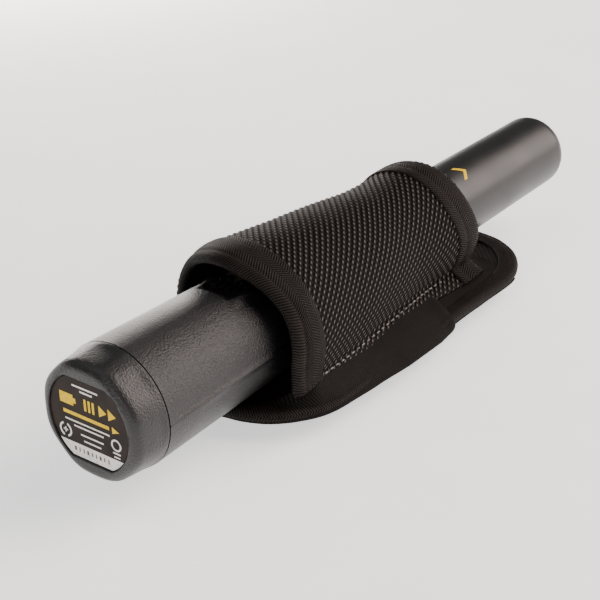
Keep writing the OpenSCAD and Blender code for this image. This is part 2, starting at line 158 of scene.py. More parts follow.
def ribbedTape(name, grooveShade, face, pitch, slant, depth, roughness=0.62):
    # Woven nylon tape: fine cords run across it, and their angled floats give a faint herringbone
    made, tree, shader = startMaterial(name)
    cloth = addNode(tree, "SeparateXYZ", {"Vector": addNode(tree, "TexCoord").outputs["UV"]})
    zigzag = addNode(tree, "Math", {0: cloth.outputs["Y"], 1: 0.0036}, operation="PINGPONG")
    shifted = addNode(tree, "Math", {0: zigzag, 1: slant, 2: cloth.outputs["X"]},
                      operation="MULTIPLY_ADD")
    turn = addNode(tree, "Math", {0: shifted, 1: 2 * math.pi / (pitch / 1000)}, operation="MULTIPLY")
    cord = addNode(tree, "MapRange", {"Value": addNode(tree, "Math", {0: turn}, operation="COSINE"),
                                      "From Min": -1, "To Min": 0, "To Max": 0.6})
    place = addNode(tree, "TexCoord").outputs["Object"]
    fibre = addNode(tree, "TexNoise", {"Vector": place, "Scale": 1000 / 0.5, "Detail": 3})
    height = addNode(tree, "Math", {0: fibre, 1: 0.5, 2: cord}, operation="MULTIPLY_ADD")
    bump = addNode(tree, "Bump", {"Strength": 0.9, "Distance": depth / 1000, "Height": height})
    wear = addNode(tree, "TexNoise", {"Vector": place, "Scale": 1000 / 9, "Detail": 3})
    # Tone mixes the tape's own random wear tone with cord height, so the grooves between cords get painted
    # shade
    tone = addNode(tree, "Math", {0: wear, 1: 0.5, 2: height}, operation="MULTIPLY_ADD")
    colour = addNode(tree, "ValToRGB", {"Fac": tone}, stops=[(0.55, grooveShade), (1.0, face)])
    setInputs(tree, shader, {"Base Color": colour, "Roughness": roughness, "Normal": bump,
                             "Specular IOR Level": 0.08})
    return made


def speckled(name, dark, light, size, roughness, metallic=0.0, depth=0.02, **more):
    # Any plain part whose surface only varies a little: a fine speckle in colour and height
    made, tree, shader = startMaterial(name)
    place = addNode(tree, "TexCoord").outputs["Object"]
    speck = addNode(tree, "TexNoise", {"Vector": place, "Scale": 1000 / size, "Detail": 4})
    bump = addNode(tree, "Bump", {"Strength": 0.6, "Distance": depth / 1000, "Height": speck})
    colour = addNode(tree, "ValToRGB", {"Fac": speck}, stops=[(0.3, dark), (0.7, light)])
    setInputs(tree, shader, {"Base Color": colour, "Roughness": roughness, "Metallic": metallic,
                             "Normal": bump, **more})
    return made


def lined(name, dark, light, axis, pitch, roughness, metallic=0.0, depth=0.05, **more):
    # Turned, wound or drawn parts: even lines along one axis, as a lathe or a winding leaves
    made, tree, shader = startMaterial(name)
    place = addNode(tree, "TexCoord").outputs["Object"]
    wave = addNode(tree, "TexWave", {"Vector": place, "Scale": 1000 / pitch * math.pi / 10,
                                     "Distortion": 0.2}, bands_direction=axis)
    lines = wave.outputs["Fac"]
    bump = addNode(tree, "Bump", {"Strength": 0.7, "Distance": depth / 1000, "Height": lines})
    colour = addNode(tree, "ValToRGB", {"Fac": lines}, stops=[(0.2, dark), (0.8, light)])
    setInputs(tree, shader, {"Base Color": colour, "Roughness": roughness, "Metallic": metallic,
                             "Normal": bump, **more})
    return made


weave = {"rib": 1.75, "bead": 2.05, "bias": 48}                     # millimetres and degrees
gripPlastic = mouldedPlastic("abs_leather_grain", "#050404", "#0c0a0a", 0.55, 0.2, 0.36)
tipPlastic = mouldedPlastic("abs_satin_tip", "#080707", "#0f0e0d", 0.35, 0.022, 0.36)
capPlastic = mouldedPlastic("abs_cap_fine_grain", "#060505", "#0f0d0c", 0.6, 0.14, 0.36, blotch=7)
innerPlastic = mouldedPlastic("abs_inner_black", "#0a0a0a", "#141414", 0.4, 0.03, 0.45)
sleeveCloth = wovenNylon("nylon_ballistic_weave", "#000000", "#0e0c0b", "#5b544d", weave["rib"],
                         weave["bead"], 0.42, weave["bias"])
plateCloth = wovenNylon("nylon_plate_weave", "#020202", "#110f0e", "#2c2725", 1.4, 1.0, 0.22, 45)
tapeCloth = ribbedTape("nylon_edge_tape", "#010101", "#2a2522", 0.85, 0.55, 0.35)
bandCloth = ribbedTape("nylon_side_band", "#040303", "#1b1815", 0.7, 0.3, 0.14, roughness=0.66)
webCloth = ribbedTape("nylon_belt_webbing", "#070606", "#211e1b", 1.1, 0.8, 0.2, roughness=0.6)
liningCloth = speckled("polyester_pack_lining", "#030303", "#0a0908", 0.8, 0.85, depth=0.1,
                       **{"Specular IOR Level": 0.2})
threadNylon = speckled("bonded_nylon_thread", "#1c1a18", "#8a837e", 0.8, 0.45)
print("cloth and plastic ready")


def keep(piece, body, slotName, material, *standsFor):
    piece.data.materials.clear()
    piece.data.materials.append(material)
    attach(piece, body)
    if standsFor:
        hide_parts(*standsFor)
    return piece


def newPiece(name, mesh):
    piece = bpy.data.objects.new(name, mesh)
    bpy.context.scene.collection.objects.link(piece)
    return piece


def meshPiece(name, made):
    mesh = bpy.data.meshes.new(name)
    made.to_mesh(mesh)
    made.free()
    return newPiece(name, mesh)


def reworkMesh(mesh, work):
    made = bmesh.new()
    made.from_mesh(mesh)
    work(made)
    made.to_mesh(mesh)
    made.free()


def faceOutward(made):
    bmesh.ops.recalc_face_normals(made, faces=made.faces)


def closeHoles(made):
    bmesh.ops.holes_fill(made, edges=[e for e in made.edges if e.is_boundary])
    faceOutward(made)


def extrudeFlat(made, face, shift):
    grown = bmesh.ops.extrude_face_region(made, geom=[face])
    moved = [v for v in grown["geom"] if isinstance(v, bmesh.types.BMVert)]
    bmesh.ops.translate(made, verts=moved, vec=shift)


def lengthAlong(line):
    return np.concatenate([[0], np.cumsum(np.linalg.norm(np.diff(line, axis=0), axis=1))])


def closed(ring):
    return np.vstack([ring, ring[:1]])


def normalsOf(line):
    tangent = np.gradient(line, axis=0)
    tangent /= np.linalg.norm(tangent, axis=1)[:, None]
    return np.stack([-tangent[:, 1], tangent[:, 0]], 1)


def ringArea(ring):
    after = np.roll(ring, -1, axis=0)
    return abs(float(np.sum(ring[:, 0] * after[:, 1] - after[:, 0] * ring[:, 1]))) / 2


def smooth(t):
    t = min(max(t, 0.0), 1.0)
    return t * t * (3 - 2 * t)


def gridPiece(name, points, cloth=None, loopRows=False, loopCols=False):
    # points[row, col] in millimetres, and cloth[row, col] is each point's place on the flat cloth
    rows, cols = points.shape[:2]
    mesh = bpy.data.meshes.new(name)
    verts = [at(*p) for p in points.reshape(-1, 3)]
    cellRows = range(rows if loopRows else rows - 1)
    cellCols = range(cols if loopCols else cols - 1)
    cells = [(i, j) for i in cellRows for j in cellCols]
    ring = [(0, 0), (1, 0), (1, 1), (0, 1)]
    faces = [[(i + a) % rows * cols + (j + b) % cols for a, b in ring] for i, j in cells]
    mesh.from_pydata(verts, [], faces)
    if cloth is not None:
        layer = mesh.uv_layers.new(name="cloth")
        spots = np.array([cloth[i + a, j + b] for i, j in cells for a, b in ring]) / 1000
        layer.data.foreach_set("uv", spots.ravel())
    mesh.polygons.foreach_set("use_smooth", [True] * len(faces))
    mesh.update()
    return newPiece(name, mesh)


def turnOutward(piece, middle):
    # Flips every face when, taken by area, they look towards middle
    mesh = piece.data
    towards = sum((f.center - middle).dot(f.normal) * f.area for f in mesh.polygons)
    if towards < 0:
        mesh.flip_normals()


def joinCorners(made):
    bmesh.ops.remove_doubles(made, verts=made.verts, dist=1e-6)


def smoothCopy(node, name, angle=28):
    # The CAD shape with its loose triangles joined and its curves shaded smooth
    piece = newPiece(name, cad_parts[node].data.copy())
    reworkMesh(piece.data, joinCorners)
    bpy.ops.object.select_all(action="DESELECT")
    bpy.context.view_layer.objects.active = piece
    piece.select_set(True)
    bpy.ops.object.shade_smooth_by_angle(angle=math.radians(angle))
    piece.select_set(False)
    return piece


view = {"eye": (-263.2, -289.0, 239.5), "look": (0.6854, 0.5584, -0.4674), "roll": -2.06, "lens": 102}
cameraData = bpy.data.cameras.new("camera")
cameraData.lens = view["lens"]
cameraData.sensor_width = 36
camera = bpy.data.objects.new("camera", cameraData)
bpy.context.scene.collection.objects.link(camera)
camera.location = at(*view["eye"])
camera.rotation_mode = "QUATERNION"
camera.rotation_quaternion = (Vector(view["look"]).to_track_quat("-Z", "Y")
                              @ Quaternion((0, 0, 1), math.radians(view["roll"])))
bpy.context.scene.camera = camera

floorGlow = {"Emission Color": "#ffffff", "Emission Strength": 0.9, "Specular IOR Level": 0.0}
floorMaterial = speckled("white_paper_sweep", "#fafafa", "#ffffff", 30, 0.95, **floorGlow)
floorShape = {"size": 8, "drop": 0.0002}                            # metres
bpy.ops.mesh.primitive_plane_add(size=floorShape["size"], location=(0, 0, -floorShape["drop"]))
floor = bpy.context.active_object
floor.name = "floor"
floor.data.materials.append(floorMaterial)

lights = {
    # name: (place in metres, where it points, width, height, watts, colour)
    "farPanel": ((0.22, 0.40, 0.06), (-0.08, 0, 0.04), 0.3, 0.14, 1.3, "#fff6f0"),
    "sidePanel": ((0.86, -0.84, 0.86), (0, 0, 0.03), 1.5, 1.6, 42, "#fff0ea"),
    "topPanel": ((-0.45, 0.55, 1.5), (0, 0, 0.0), 1.2, 1.2, 5, "#ffffff"),
    "nearPanel": ((-1.4, -0.5, 0.7), (-0.06, 0, 0.02), 0.6, 0.6, 6, "#fff6f2"),
}
for name, (place, target, width, height, watts, tint) in lights.items():
    lampData = bpy.data.lights.new(name, "AREA")
    lampData.shape = "RECTANGLE"
    lampData.size = width
    lampData.size_y = height
    lampData.energy = watts
    lampData.color = linear(tint)[:3]
    lamp = bpy.data.objects.new(name, lampData)
    bpy.context.scene.collection.objects.link(lamp)
    lamp.location = place
    lamp.rotation_mode = "QUATERNION"
    lamp.rotation_quaternion = (Vector(target) - Vector(place)).to_track_quat("-Z", "Y")
    lamp.visible_camera = False

world = bpy.data.worlds.new("studio")
world.use_nodes = True
setInputs(world.node_tree, world.node_tree.nodes["Background"], {"Color": "#ffffff", "Strength": 0.2})
bpy.context.scene.world = world
print("camera, floor and lights ready")

shells = {
    # CAD node: (piece, slot, material)
    "housing_upper": ("handle_upper_shell", "grip_plastic", gripPlastic),
    "housing_lower": ("handle_lower_shell", "grip_plastic", gripPlastic),
    "tip_cover": ("tip_sleeve", "tip_plastic", tipPlastic),
}
for node, (name, slotName, material) in shells.items():
    keep(smoothCopy(node, name), "probe", slotName, material, node)

capShape = {"rimRadius": 18.3, "seamRadius": 19.0, "edge": 3.1, "flatAt": 17.75, "flatLean": 0.085,
            "flats": 8, "blend": 0.9, "labelRadius": 14.7, "labelHalf": 12.7, "labelDepth": 0.9,
            "bore": 16.75, "boreStart": 2.8, "turns": 256,
            "stations": (0.0, 0.03, 0.1, 0.22, 0.4, 0.65, 1.0, 1.4, 1.9, 2.5, 3.5, 4.6, 5.8,
                         7, 8, 8.8, 9.5, 10.1, 10.6, 11, 11.3)}


def softMin(a, b, blend):
    share = np.clip(0.5 + 0.5 * (b - a) / blend, 0, 1)
    return b * (1 - share) + a * share - blend * share * (1 - share)


def buildCap():
    s = capShape
    length = capHigh.x
    turns = np.linspace(0, 2 * math.pi, s["turns"], endpoint=False)
    aroundFlat = (turns + math.pi / s["flats"]) % (2 * math.pi / s["flats"]) - math.pi / s["flats"]
    labelEdge = np.minimum(s["labelRadius"], s["labelHalf"] / np.maximum(np.abs(np.cos(turns)), 0.01))
    seam, bore, depth = s["seamRadius"], s["bore"], s["labelDepth"]
    rows = []

    def row(x, radius):
        radius = np.full_like(turns, radius) if np.isscalar(radius) else radius
        rows.append(np.stack([np.full_like(turns, x), -radius * np.sin(turns), radius * np.cos(turns)], 1))

    def outside(x):
        t = max(0.0, (x - s["edge"]) / (length - s["edge"]))
        radius = s["rimRadius"] + (s["seamRadius"] - s["rimRadius"]) * t
        flat = s["flatAt"] + s["flatLean"] * x + 1.6 * max(0.0, (x - length + 3) / 3) ** 2
        if x < s["edge"]:
            drop = s["edge"] - math.sqrt(s["edge"] ** 2 - (s["edge"] - x) ** 2)
            radius -= drop
            flat -= drop * 0.8
        return softMin(np.full_like(turns, radius), flat / np.cos(aroundFlat), s["blend"])

    for share in (0.02, 0.5):
        row(depth, labelEdge * share)
    for x, beyond in ((depth, -0.1), (depth - 0.1, 0), (0.35, 0.02), (0.12, 0.08), (0.03, 0.2), (0.0, 0.35)):
        row(x, labelEdge + beyond)
    for x in s["stations"]:
        row(x, outside(x))
    for back, radius in ((0.35, seam - 0.02), (0.12, seam - 0.16), (0, seam - 0.5),
                         (0, bore + 0.2), (0.2, bore)):
        row(length - back, radius)
    for radius in (bore, bore * 0.5, 0.3):
        row(s["boreStart"], radius)
    cap = gridPiece("battery_cap_shell", np.array(rows), loopCols=True)
    turnOutward(cap, at(6, 0, 30))
    reworkMesh(cap.data, closeHoles)
    return cap


keep(buildCap(), "cap", "cap_plastic", capPlastic, "battery_cap")

# The cap label has plain marks in the printed areas, with no words
labelVinyl = speckled("label_vinyl_dark", "#18110d", "#2b1f17", 6, 0.5, depth=0.01,
                      **{"Specular IOR Level": 0.15})
inkYellow = speckled("label_ink_yellow", "#dcb400", "#f0cc08", 1, 0.5, depth=0.01,
                     **{"Specular IOR Level": 0.2})
inkWhite = speckled("label_ink_white", "#cfcac6", "#eeeae6", 1, 0.45, depth=0.01)
inkGrey = speckled("label_ink_grey", "#3d3936", "#5a5450", 1, 0.45, depth=0.01)
labelPrint = {"face": 0.55, "proud": 0.03, "whiteBelow": -8.3, "margin": 0.3}


def flatShape(name, outlines, depth):
    # Thin prints on the label: each outline is a closed list of (across, up) in millimetres
    made = bmesh.new()
    for outline in outlines:
        corners = [made.verts.new(at(depth, y, z)) for y, z in outline]
        face = made.faces.new(corners)
        face.normal_update()
        if face.normal.x > 0:
            face.normal_flip()
        extrudeFlat(made, face, (-labelPrint["proud"] / 1000, 0, 0))
    faceOutward(made)
    return meshPiece(name, made)


def roundedD(radius, low, high, steps=72):
    # A disc cut off below low and above high
    outline = []
    for i in range(steps):
        turn = 2 * math.pi * i / steps
        y = radius * math.sin(turn)
        z = min(max(radius * math.cos(turn), low), high)
        chord = math.sqrt(radius ** 2 - z ** 2)
        outline.append((max(-chord, min(chord, y)), z))
    return outline


def bar(y, z, width, height):
    return [(y - width / 2, z - height / 2), (y + width / 2, z - height / 2),
            (y + width / 2, z + height / 2), (y - width / 2, z + height / 2)]


def arcBand(radius, width, start, end, y=0, z=0, steps=20):
    turns = [math.radians(start + (end - start) * i / steps) for i in range(steps + 1)]
    outer, inner = [[(y + reach * math.sin(t), z + reach * math.cos(t)) for t in turns]
                    for reach in (radius + width / 2, radius - width / 2)]
    return outer + inner[::-1]


edgeRadius = capShape["labelRadius"] - labelPrint["margin"]
edgeHalf = capShape["labelHalf"] - labelPrint["margin"]
darkOutline = roundedD(edgeRadius, labelPrint["whiteBelow"], edgeHalf)
paleOutline = roundedD(edgeRadius, -edgeHalf, labelPrint["whiteBelow"])
# The holder reads it from behind, so across runs the other way: +Y is on the reader's left
# The first two yellow bars are a battery sign
yellowMarks = [bar(7.9, 5.2, 5.0, 3.4), bar(4.9, 5.2, 0.9, 1.6),
               bar(0.9, 5.2, 0.8, 3.6), bar(-0.6, 5.2, 0.8, 3.6), bar(-2.1, 5.2, 0.8, 3.6),
               [(-4.2, 7.0), (-7.0, 5.2), (-4.2, 3.4)], [(-7.6, 7.0), (-10.4, 5.2), (-7.6, 3.4)],
               bar(1.0, 1.0, 17, 1.1), [(-8.6, 1.9), (-11.2, 0.8), (-8.6, -0.2)]]
whiteMarks = [bar(0.5, 10.2, 9.5, 0.55), bar(0.2, 8.9, 4.6, 0.55),
              bar(0.8, -1.3, 16.5, 0.5), bar(0.4, -2.7, 11, 0.5),
              arcBand(2.0, 0.6, 20, 160, 9.4, -5.2), arcBand(2.0, 0.6, 200, 340, 9.4, -5.2),
              bar(9.4, -5.2, 1.6, 0.5), bar(9.4, -5.2, 0.5, 1.6),
              bar(-0.6, -4.9, 8.5, 0.5), bar(-0.6, -6.7, 6.4, 0.5),
              arcBand(1.6, 0.55, 0, 359, -9.6, -3.6),
              bar(-9.6, -6.2, 2.8, 0.5), bar(-9.6, -7.4, 2.2, 0.45)]
greyMarks = [bar(6.2 - 1.55 * i, -10.1, 0.45 + 0.35 * (i % 3 == 0), 1.3) for i in range(9)]
printDepth = labelPrint["face"] - labelPrint["proud"]
labelPieces = {
    # piece: (outlines, depth, ink, CAD node)
    "label_dark_face": ([darkOutline], labelPrint["face"], labelVinyl, "cap_label"),
    "label_pale_strip": ([paleOutline], labelPrint["face"], inkWhite),
    "label_yellow_marks": (yellowMarks, printDepth, inkYellow),
    "label_white_marks": (whiteMarks, printDepth, inkWhite),
    "label_grey_marks": (greyMarks, printDepth, inkGrey),
}
for name, (outlines, depth, ink, *nodes) in labelPieces.items():
    keep(flatShape(name, outlines, depth), "cap", "label", ink, *nodes)
print("cap and label ready")

# The tip mark is a small chevron pointing at the sensing end
tipMark = {"rear": 170.2, "front": 174.8, "middle": 23.5, "reach": 13.5, "radius": 13.06, "stroke": 1.6,
           "steps": 16}


def buildTipMark():
    s = tipMark
    points, faces = [], []
    for i in range(s["steps"] + 1):
        t = i / s["steps"] * 2 - 1
        turn = math.radians(s["middle"] + s["reach"] * t)
        nose = s["front"] - s["stroke"] - (s["front"] - s["rear"] - s["stroke"]) * abs(t)
        for x in (nose, nose + s["stroke"]):
            points.append(at(x, -s["radius"] * math.sin(turn), s["radius"] * math.cos(turn)))
        if i:
            faces.append((2 * i - 2, 2 * i - 1, 2 * i + 1, 2 * i))
    mesh = bpy.data.meshes.new("tip_mark")
    mesh.from_pydata(points, [], faces)
    return newPiece("tip_mark", mesh)


mark = buildTipMark()
turnOutward(mark, at(172, 0, 0))
keep(mark, "probe", "label", inkYellow)

holster = {
    # (place along the probe, outer radius of the arch)
    "arch": [(55.6, 24.6), (57.6, 25.1), (61.5, 25.9), (66, 26.3), (70, 26.1), (75, 25.7), (100, 23.3),
             (128, 20.1), (137, 19.6), (150, 20.0), (160, 19.4), (165, 18.4)],
    # (place along the probe, height of the crease where the cloth turns outward)
    "crease": [(55, -10.5), (66, -9.6), (120, -9.7), (137, -11.4), (150, -12), (165, -12)],
    # width of the woven strip outside the crease
    "strip": [(55, 1.0), (75, 1.6), (86, 2.6), (106, 4.6), (120, 6.0), (131, 5.6), (157, 6.7), (165, 6.7)],
    # how far the side band stands out beyond the plate
    "bulge": [(60, 0), (68, 0.1), (77, 0.4), (90, 1.2), (104, 2.2), (121, 2.0), (134, 0.4)],
    # (turn from the top in degrees towards -Y, how far back the mouth's rim lies)
    "rim": [(-120, 63.0), (-90, 63.5), (-50, 62.2), (-20, 58.0), (0, 56.2), (20, 56.6), (50, 59.0),
            (65, 59.6), (90, 58.2), (120, 58.0)],
    "rimBase": 56.5,
    # (turn, how far forward the front tape lies)
    "frontRim": [(-120, 4.0), (-90, 4.0), (-70, 1.5), (-45, 0.2), (0, 0.0), (45, 0.2), (70, 1.5), (90, 4.0),
                 (120, 4.0)],
    "ribHeight": 0.2, "sag": 0.3, "liningGap": 3.0,
    # the plate's corner radius, and how it narrows towards the front
    "corner": 27.0, "narrowFrom": 122, "narrowOver": 14, "narrowBy": 0.035,
}


def along(table, x):
    places, values = zip(*holster[table])
    step = 2.0
    return float(np.mean([np.interp(x + d, places, values) for d in (-step, -step / 2, 0, step / 2, step)]))


def edgeHalfWidth(x):
    # Half the plate's width at x, along its rounded corners too
    corner = holster["corner"]
    gap = max(plateLow.x + corner - x, x - plateHigh.x + corner, 0.0)
    return plateHigh.y - corner + math.sqrt(max(corner ** 2 - gap ** 2, 0.0))


def narrowing(x):
    return 1 - holster["narrowBy"] * smooth((x - holster["narrowFrom"]) / holster["narrowOver"])


def sectionLine(x, lift=0.0, stripWidth=None, arcSteps=56):
    # Points and outward normals round the sleeve at x, from one strip's free edge to the other,
    # and the cloth length from the top to each point; lift raises the line outward
    r = along("arch", x)
    creaseZ = along("crease", x)
    width = along("strip", x) if stripWidth is None else stripWidth
    # near the mouth the sides hang straight
    hang = min(max((69 - x) / 9, 0.0), 1.0) ** 2
    low = math.asin(creaseZ / r)

    def arcPoint(turn):
        y, z = r * math.cos(turn), r * math.sin(turn)
        return np.array([y + (r - 0.4 - y) * hang * min(1.0, -z / 4) if z < 0 else y, z])

    crease = arcPoint(low)
    target = np.array([plateHigh.y, plateHigh.z - 1.2])
    outward = (target - crease) / np.linalg.norm(target - crease)
    bend = min(1.2, width * 0.5)
    free = crease + outward * width
    begin = crease + outward * bend
    finish = arcPoint(low + 1.6 / r)
    half = [free + (begin - free) * t for t in np.linspace(0, 1, 13)[:-1]]
    for t in np.linspace(0, 1, 7)[:-1]:
        half.append((1 - t) ** 2 * begin + 2 * t * (1 - t) * crease + t ** 2 * finish)
    half += [arcPoint(turn) for turn in np.linspace(low + 1.6 / r, math.pi / 2, arcSteps)]
    half = np.array(half)
    line = np.vstack([half * [-1, 1], half[::-1][1:]])
    normal = normalsOf(line)
    line = line + normal * lift
    length = lengthAlong(line)
    return line, normal, length - length[len(half) - 1]


def turnOf(line):
    # Degrees from the top towards -Y
    return np.degrees(np.arctan2(-line[:, 0], np.maximum(line[:, 1], -abs(line[:, 0]) * 0.6)))


def sagOf(x, y, z):
    return holster["sag"] * noise.noise(Vector((x / 17, y / 13, z / 13)))


def buildSleeve():
    stations = np.arange(65, 157.5, 0.42)
    bias = math.radians(weave["bias"])
    points, cloth = [], []
    for x in stations:
        line, normal, length = sectionLine(x, arcSteps=112)
        across = x * math.cos(bias) - length * math.sin(bias)
        rib = holster["ribHeight"] * np.cos(2 * math.pi * across / weave["rib"])
        fromEdge = np.minimum(length - length[0], length[-1] - length)
        bed = np.array([sagOf(x, *p) for p in line])
        line = line + normal * (rib * np.clip(fromEdge / 3 - 0.2, 0, 1) + bed)[:, None]
        hem = line[[0, -1]] + np.array([[0.3, -0.9], [-0.3, -0.9]])
        tuck = hem + np.array([[1.2, 0.1], [-1.2, 0.1]])
        line = np.vstack([tuck[:1], hem[:1], line, hem[1:], tuck[1:]])
        first, last = length[0], length[-1]
        length = np.concatenate([[first - 2, first - 0.9], length, [last + 0.9, last + 2]])
        points.append(np.column_stack([np.full(len(line), x), line]))
        cloth.append(np.column_stack([np.full(len(line), x), length]))
    return gridPiece("sleeve_woven_shell", np.array(points), np.array(cloth))


sleeve = buildSleeve()
turnOutward(sleeve, at(110, 0, -10))
keep(sleeve, "holster", "sleeve_fabric", sleeveCloth, "sleeve")
print("sleeve ready:", len(sleeve.data.polygons), "faces")


def buildTape(name, profile, table, anchor, stripWidth, pleat=0.0):
    # A tape folded over one end of the sleeve: profile is (place along the probe, height over the sleeve)
    # The table shifts it round the arch. On the rear tape the end at anchor stays where it is
    points, cloth = [], []
    run = 0.0
    turns, shifts = zip(*holster[table])
    base = holster["rimBase"] if table == "rim" else 0.0
    for k, (x, lift) in enumerate(profile):
        if k:
            run += math.hypot(x - profile[k - 1][0], lift - profile[k - 1][1])
        line, normal, length = sectionLine(x, 0.0, stripWidth)
        share = min(1.0, abs(x - anchor) / 9) if table == "rim" else 1.0
        shift = (np.interp(turnOf(line), turns, shifts) - base) * share
        shift = np.convolve(np.pad(shift, 6, mode="edge"), np.ones(13) / 13, mode="valid")
        low = np.clip((-line[:, 1] - 5) / 6, 0, 1)
        ripple = pleat * low * np.sin(line[:, 1] * 2.1 + x * 0.9)
        bed = np.array([sagOf(x, *p) for p in line])
        line = line + normal * (lift + bed + ripple)[:, None]
        points.append(np.column_stack([x + shift, line]))
        cloth.append(np.column_stack([length, np.full(len(line), run)]))
    return gridPiece(name, np.array(points), np.array(cloth))


rearProfile = [(69.9, 0.1), (69.7, 0.55), (69.1, 0.7), (67, 0.72), (65, 0.7), (63, 0.7), (61.2, 0.68),
               (60.5, 0.6), (60.0, 0.3), (59.4, 0.62), (58.5, 0.68), (57.6, 0.5), (57.0, 0.1), (56.6, -0.5),
               (56.5, -1.2), (56.8, -1.9), (57.6, -2.4), (59, -2.7), (61.5, -2.8), (64, -2.8), (67, -2.7)]
frontProfile = [(145.0, 0.1), (145.2, 0.55), (145.9, 0.7), (147.2, 0.72), (148.6, 0.7), (149.3, 0.45),
                (150, 0.7), (152, 0.8), (154, 0.78), (155.6, 0.6), (156.8, 0.2), (157.3, -0.5),
                (157.2, -1.3), (156.5, -2.0), (155, -2.4), (152, -2.6), (149, -2.6)]
rearTape = buildTape("rear_edge_tape", rearProfile, "rim", 69.9, 1.6, pleat=0.18)
frontTape = buildTape("front_edge_tape", frontProfile, "frontRim", 145, 7.0, pleat=0.15)
turnOutward(rearTape, at(60, 0, -10))
turnOutward(frontTape, at(156, 0, -10))
keep(rearTape, "holster", "tape", tapeCloth, "rear_binding")
keep(frontTape, "holster", "tape", tapeCloth, "front_binding")


def buildLining():
    stations = np.arange(65, 152, 2.0)
    points, cloth = [], []
    for x in stations:
        line, normal, length = sectionLine(x, -holster["liningGap"], 0.4)
        line, length = line[20:-20], length[20:-20]
        foot = plateHigh.z + 0.6
        drop = line[0, 1] - foot
        shares = np.linspace(1, 0, 5)[:-1]
        right = np.array([[line[0, 0], line[0, 1] - drop * t] for t in shares])
        left = right[::-1] * [-1, 1]
        line = np.vstack([right, line, left])
        length = np.concatenate([length[0] - drop * shares, length, length[-1] + drop * shares[::-1]])
        points.append(np.column_stack([np.full(len(line), x), line]))
        cloth.append(np.column_stack([np.full(len(line), x), length]))
    return gridPiece("sleeve_lining_cloth", np.array(points), np.array(cloth))


lining = buildLining()
turnOutward(lining, at(110, 0, -10))
# its good side looks into the tunnel
lining.data.flip_normals()
keep(lining, "holster", "lining_fabric", liningCloth, "sleeve_lining")


def buildBand(name, side, start, end, drop, roundEnd, outer):
    # One layer of the side band: from under the crease down to the plate's edge, and turned under it
    stations = np.linspace(start, end, int(end - start) + 1)
    points, cloth = [], []
    for x in stations:
        left = end - x
        curl = 1.1 * smooth((x - end + 7) / 7) if roundEnd else 0.0
        # with no round end this gives 0
        inset = roundEnd - math.sqrt(max(roundEnd ** 2 - max(roundEnd - left, 0) ** 2, 0))
        sink = 0.0 if roundEnd else 2.6 * smooth((x - end + 12) / 12)
        r, creaseZ = along("arch", x), along("crease", x)
        top = np.array([math.sqrt(r * r - creaseZ ** 2) - 1.0, creaseZ - 0.5 - drop - sink])
        edge = np.array([outer(x) - 0.6 - inset * 0.6, plateHigh.z - 0.9 - drop * 0.3 - sink * 0.4 + curl])
        # round the rear corner it lies on the plate
        flat = 1 - smooth((x - 57) / 10)
        lying = np.array([max(edge[0] - 9.5, 1.0), plateHigh.z + 1.25])
        top = top * (1 - flat) + lying * flat
        line = []
        way = np.array([(top - edge)[1], -(top - edge)[0]])
        way /= np.linalg.norm(way)
        way = way if way[1] > 0 else -way
        for t in np.linspace(0, 1, 20):
            line.append(top + (edge - top) * t + way * 0.7 * math.sin(math.pi * t) ** 0.8)
        low = bindingLow.z + 0.1
        middle, reach = (edge[1] + low) / 2, (edge[1] - low) / 2
        for turn in np.linspace(25, 165, 7):
            line.append(np.array([edge[0] - 0.4 + 1.0 * math.sin(math.radians(turn)),
                                  middle + reach * math.cos(math.radians(turn))]))
        line.append(np.array([edge[0] - 3, low]))
        line = np.array(line)
        line[:, 1] += [0.25 * noise.noise(Vector((x / 10, p[0] / 6, side * 5))) for p in line]
        length = lengthAlong(line)
        points.append(np.column_stack([np.full(len(line), x), side * line[:, 0], line[:, 1]]))
        cloth.append(np.column_stack([np.full(len(line), x), length]))
    # the end of a rounded layer is turned down to the layer below it
    if roundEnd:
        last = points[-1] + np.array([0.35, 0, -1.3])
        points.append(last)
        cloth.append(cloth[-1] + np.array([0.8, 0]))
    return gridPiece(name, np.array(points), np.array(cloth))


def rearBandEdge(x):
    return edgeHalfWidth(x) + 0.5 + float(np.interp(x, *zip(*holster["bulge"])))


def frontBandEdge(x):
    return edgeHalfWidth(x) * narrowing(x) + 0.2


bandLayers = {
    # layer: (start, end, drop, round end, half width at x)
    "rear": (48.5, 134, 0.0, 6.0, rearBandEdge),
    "front": (124, 172, 1.9, 0.0, frontBandEdge),
}
for side, word in ((-1, "right"), (1, "left")):
    for layer, (start, end, drop, roundEnd, outer) in bandLayers.items():
        band = buildBand(f"side_band_{word}_{layer}", side, start, end, drop, roundEnd, outer)
        turnOutward(band, at((start + end) / 2, side * 20, -30))
        nodes = [f"side_band_{word}"] if layer == "rear" else []
        keep(band, "holster", "band_fabric", bandCloth, *nodes)


def plateOutline(inset=0.0, cornerSteps=18):
    # Points round the plate's rounded outline, moved inward by inset, with the outward direction at each
    corner = holster["corner"]
    rear, front = plateLow.x + corner, plateHigh.x - corner
    half = plateHigh.y - corner
    spots, ways = [], []
    for cx, cy, start in ((front, half, 0), (rear, half, 90), (rear, -half, 180), (front, -half, 270)):
        for i in range(cornerSteps + 1):
            turn = math.radians(start + 90 * i / cornerSteps)
            way = np.array([math.cos(turn), math.sin(turn)])
            spots.append(np.array([cx, cy]) + way * (corner - inset))
            ways.append(way)
    spots, ways = np.array(spots), np.array(ways)
    steps = np.linalg.norm(np.diff(closed(spots), axis=0), axis=1)
    outSpots, outWays = [], []
    for i, step in enumerate(steps):
        parts = max(1, int(step / 2.0))
        for k in range(parts):
            t = k / parts
            outSpots.append(spots[i] * (1 - t) + spots[(i + 1) % len(spots)] * t)
            way = ways[i] * (1 - t) + ways[(i + 1) % len(spots)] * t
            outWays.append(way / np.linalg.norm(way))
    for spot in outSpots:
        spot[1] *= narrowing(spot[0])
    return np.array(outSpots), np.array(outWays)


